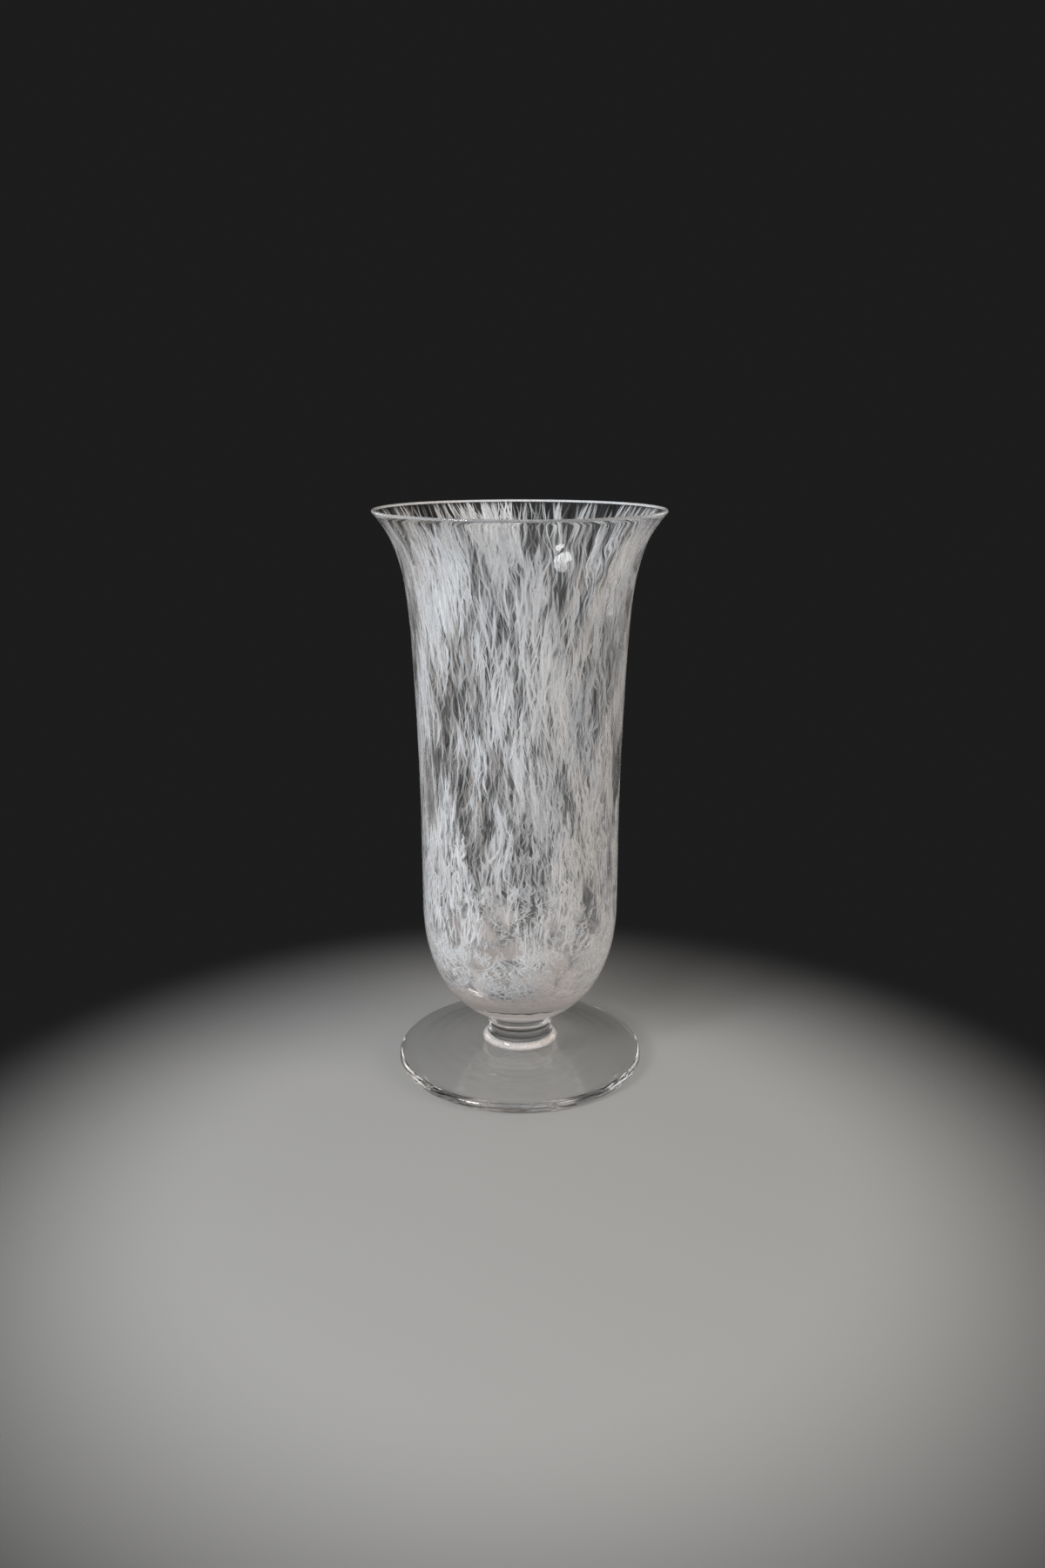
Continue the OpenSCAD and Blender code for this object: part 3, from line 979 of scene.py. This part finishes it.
class VASE_OT_veil(bpy.types.Operator):
    """Makes the milky veil: a closed shell of thin haze between the streaks, which follows the white
    layer a little inside its middle."""

    bl_idname = "vase.veil"
    bl_label = "Milky veil"

    def execute(self, context):
        scene = context.scene
        look = scene.vase_streaks
        outline = bowl_outline(scene)
        rows, steps, half = 170, 200, 0.02 * MM
        inward = 0.3 * outline.layer_t
        way = np.linspace(outline.layer_low, outline.white_top, rows)
        r, z = joined([
            outline.layer_point(way, inward - half),
            outline.layer_point(way[::-1], inward + half),
        ])
        ways = np.concatenate([way, way[::-1]])[:, None]
        around = angles_round(steps)
        veil = milky_glass(look, outline.layer_low, outline.white_top)
        piece = turned_band("milky_veil", turned_points(r[:, None], z[:, None], around), veil)
        place = turned_points(outline.waist_r, ways, around - drift(around, ways))
        give_numbers(piece, "wall_place", place.reshape(-1, 3))
        # The veil is denser towards the milky side: partly uneven haze, partly painted light from the
        # right.
        milky = 0.75 + 0.65 * np.cos(around + look.milky_lit_side)
        give_numbers(piece, "cloud", (milky * cloud(around, ways)).ravel())
        finish_piece(piece, "white_glass", "white_streaks")
        return {"FINISHED"}


class VASE_OT_lip_line(bpy.types.Operator):
    """Makes the white glass that was gathered in the lip as it was fire-polished: a thin closed ring,
    whose section is an ellipse that leans as the lip does. It fades out at the front, as painted shade on
    the near side of the lip."""

    bl_idname = "vase.lip_line"
    bl_label = "Lip line"

    def execute(self, context):
        scene = context.scene
        look = scene.vase_streaks
        outline = bowl_outline(scene)
        corners, steps = 12, 320
        lean = outline.lip_lean
        mid_r, mid_z = outline.in_wall(outline.lip_z, outline.lip_r)
        around = angles_round(steps)
        turn = np.linspace(0, TURN, corners, endpoint=False)[:, None]
        along = look.lip_line_w / 2 * np.sin(turn) - look.lip_line_drop
        across = look.lip_line_t / 2 * np.cos(turn)
        r = mid_r + along * math.sin(lean) + across * math.cos(lean)
        z = mid_z + along * math.cos(lean) - across * math.sin(lean)
        glass = white_glass("lip_line_glass", look.white, look.thin_white)
        piece = turned_band("lip_line", turned_points(r, z, around), glass)
        # Full at the back and none at the front: the fading is painted shade on the near side of the lip.
        white = np.clip(0.6 + 1.2 * np.sin(around), 0, 0.97)
        give_numbers(piece, "fullness", np.repeat(white, corners, axis=0).ravel())
        finish_piece(piece, "white_glass", "white_streaks")
        return {"FINISHED"}


class VASE_OT_fillet_highlight_ring(bpy.types.Operator):
    """Makes a painted highlight in the stem's fillet: a milky ring, a closed shell between two arcs about
    the fillet's centre, just under its face, densest half way."""

    bl_idname = "vase.fillet_veil"
    bl_label = "Fillet veil"

    def execute(self, context):
        scene = context.scene
        foot, look = scene.vase_foot, scene.vase_streaks
        rows, steps, outer_deep, inner_deep = 24, 192, 0.12 * MM, 0.18 * MM
        fillet_r = foot.stem_fillet_r
        mid_r, mid_z = scene.vase_bowl.seat_d / 2 + fillet_r, foot.seat_z + fillet_r
        turn = np.linspace(math.radians(12), math.radians(84), rows)
        turns = np.concatenate([turn, turn[::-1]])[:, None]
        deep = np.repeat([outer_deep, inner_deep], len(turn))[:, None]
        r = mid_r - (fillet_r + deep) * np.sin(turns)
        z = mid_z - (fillet_r + deep) * np.cos(turns)
        around = angles_round(steps)
        # White glass in the clear fillet, as a painted highlight.
        glass = white_glass("fillet_highlight_glass", look.base_and_fillet_highlight_white, look.base_and_fillet_highlight_white)
        piece = turned_band("fillet_veil", turned_points(r, z, around), glass)
        uneven = 1 + 0.2 * wobble(around, 9 * z, "fillet")
        half_way = np.sin(math.pi * (turns - turn[0]) / (turn[-1] - turn[0])) ** 0.8
        give_numbers(piece, "fullness", (look.fillet_highlight_share * half_way * uneven).ravel())
        finish_piece(piece, "white_glass", "stem")
        return {"FINISHED"}


class VASE_OT_stage(bpy.types.Operator):
    """Makes the floor, the backdrop, the lamps and the camera."""

    bl_idname = "vase.stage"
    bl_label = "Stage"

    # Each lamp's name, degrees to the right and up, distance, size, watts and tint, and whether the
    # glass mirrors it
    lamps = (
        ("key", -28, 28, 1.15, (0.30, 0.30), 3.0, (0.945, 0.97, 1.0), False),
        ("window", -48, 20, 1.3, (0.46, 0.26), 10.5, (0.955, 0.975, 1.0), True),
        ("low_window", -43, 31, 1.3, (0.18, 0.14), 2.5, (1.0, 1.0, 1.0), True),
        ("fill", 66, 16, 1.2, (0.6, 0.8), 9, (1.0, 0.89, 0.77), False),
        ("left_back", -130, 10, 0.9, (0.45, 0.35), 0.75, (1.0, 1.0, 1.0), True),
        ("right_back", 130, 10, 0.9, (0.45, 0.35), 0.75, (1.0, 0.95, 0.93), True),
    )

    def execute(self, context):
        scene = context.scene
        stage = scene.vase_stage
        scene.view_settings.view_transform = "Standard"
        scene.cycles.transparent_max_bounces = 48
        scene.cycles.transmission_bounces = 24
        scene.cycles.glossy_bounces = 24
        scene.cycles.max_bounces = 32
        self.camera(scene, stage)
        self.floor(stage)
        self.backdrop(scene, stage)
        for name, side, up, far, size, watts, tint, mirrored in self.lamps:
            self.lamp(name, math.radians(side), math.radians(up), far, size, watts, tint, mirrored)
        return {"FINISHED"}

    def camera(self, scene, stage):
        """Sets the camera where the photograph was taken from, facing along Y but for its pitch."""
        data = bpy.data.cameras.new("camera")
        data.lens = stage.camera_lens
        data.clip_start = 0.01
        camera = bpy.data.objects.new("camera", data)
        camera.location = (stage.camera_x, -stage.camera_back, stage.camera_z)
        camera.rotation_euler = (math.pi / 2 - stage.camera_pitch, 0, 0)
        scene.collection.objects.link(camera)
        scene.camera = camera

    def floor(self, stage):
        """A round floor just under the vase, matt and pale, that fades out away from its middle."""
        rows, steps, drop, spare_share = 24, 96, 0.2 * MM, 1.1
        r = np.linspace(0, spare_share * stage.fade_end, rows)[:, None]
        points = turned_points(r, -drop, angles_round(steps)) - np.array([0, stage.fade_front, 0])
        shader = Shader("floor")
        place = shader.add("TexCoord").outputs["Object"]
        from_middle = shader.add("Mapping", {"Vector": place, "Location": (0, stage.fade_front, 0)})
        far = shader.add("VectorMath", {0: from_middle.outputs["Vector"]}, operation="LENGTH")
        faded = shader.spread(far.outputs["Value"], stage.fade_start, stage.fade_end)
        pale = shader.mix(faded, shader.matt((*stage.floor, 1), 0.75, 0.2), shader.clear())
        piece = put_mesh("floor", points, ring_quads(rows, steps)[:, ::-1], shader.show(pale))

    def backdrop(self, scene, stage):
        """A plain dark backdrop for what is seen, mirrored or seen through glass, and even light for the
        rest. A pale ceiling is over both, which the camera doesn't see."""
        world = Shader("backdrop", bpy.data.worlds.new("backdrop"))
        scene.world = world.owner
        path = world.add("LightPath")
        up = world.height(world.add("TexCoord").outputs["Generated"])
        pale = world.spread(up, 0.62, 0.94, 0.0, stage.ceiling)
        ceiling, plain, light = [
            world.add("Background", {"Color": (*tint, 1), "Strength": strength}).outputs[0]
            for tint, strength in (((1, 1, 1), pale), (stage.backdrop, 1), ((1, 1, 1), stage.ambient))
        ]
        seen = world.maths("MAXIMUM", path.outputs["Is Glossy Ray"], path.outputs["Is Transmission Ray"])
        around = world.add("AddShader", {0: world.mix(seen, light, plain), 1: ceiling}).outputs[0]
        world.show(world.mix(path.outputs["Is Camera Ray"], around, plain))

    def lamp(self, name, side, up, far, size, watts, tint, mirrored):
        """A softbox that faces the middle of the vase, far metres from it. side is the angle to the right
        of the camera's own direction, and up the angle above the floor. The glass shows it if mirrored.
        """
        data = bpy.data.lights.new(name, "AREA")
        data.shape = "ELLIPSE"
        data.size, data.size_y = size
        data.energy = watts
        data.color = tint
        lamp = bpy.data.objects.new(name, data)
        aim = np.array([0, 0, CAD_BOX[1].z / 2])
        away = np.array([math.sin(side) * math.cos(up), -math.cos(side) * math.cos(up), math.sin(up)])
        lamp.location = aim + far * away
        lamp.rotation_euler = (math.pi / 2 - up, 0, side)
        lamp.visible_camera = False
        lamp.visible_glossy = mirrored
        lamp.visible_transmission = mirrored
        bpy.context.scene.collection.objects.link(lamp)


class VASE_PT_panel(bpy.types.Panel):
    """Lists the vase's pieces and their sizes."""

    bl_label = "Glass Vase"
    bl_idname = "VASE_PT_panel"
    bl_space_type = "VIEW_3D"
    bl_region_type = "UI"
    bl_category = "Vase"

    def draw(self, context):
        for values_name, (_, operators) in SECTIONS.items():
            box = self.layout.box()
            for operator in operators:
                box.operator(operator.bl_idname)
            values = getattr(context.scene, values_name)
            for name in values.bl_rna.properties.keys():
                if name not in ("rna_type", "name"):
                    box.prop(values, name)


# The scene's values, and the operators that the panel lists above them
SECTIONS = {
    "vase_bowl": (VaseBowlSizes, [VASE_OT_bowl]),
    "vase_foot": (VaseFootSizes, [VASE_OT_stem, VASE_OT_foot]),
    "vase_streaks": (
        VaseStreakLook, [VASE_OT_streaks, VASE_OT_veil, VASE_OT_lip_line, VASE_OT_fillet_highlight_ring]
    ),
    "vase_glass": (VaseGlassLook, []),
    "vase_stage": (VaseStageLook, [VASE_OT_stage]),
}
GROUPS = {name: group for name, (group, _) in SECTIONS.items()}
OPERATORS = [operator for _, operators in SECTIONS.values() for operator in operators]
CLASSES = [*GROUPS.values(), *OPERATORS, VASE_PT_panel]


def register():
    """Registers the classes and gives every scene its values."""
    for item in CLASSES:
        bpy.utils.register_class(item)
    for name, group in GROUPS.items():
        setattr(bpy.types.Scene, name, bpy.props.PointerProperty(type=group))


def unregister():
    """Takes the values and the classes away again."""
    for name in GROUPS:
        delattr(bpy.types.Scene, name)
    for item in reversed(CLASSES):
        bpy.utils.unregister_class(item)


def main():
    """Makes the vase and its stage."""
    register()
    bpy.ops.vase.bowl()
    bpy.ops.vase.stem()
    bpy.ops.vase.foot()
    bpy.ops.vase.streaks()
    bpy.ops.vase.veil()
    bpy.ops.vase.lip_line()
    bpy.ops.vase.fillet_veil()
    bpy.ops.vase.stage()


if __name__ == "__main__":
    main()
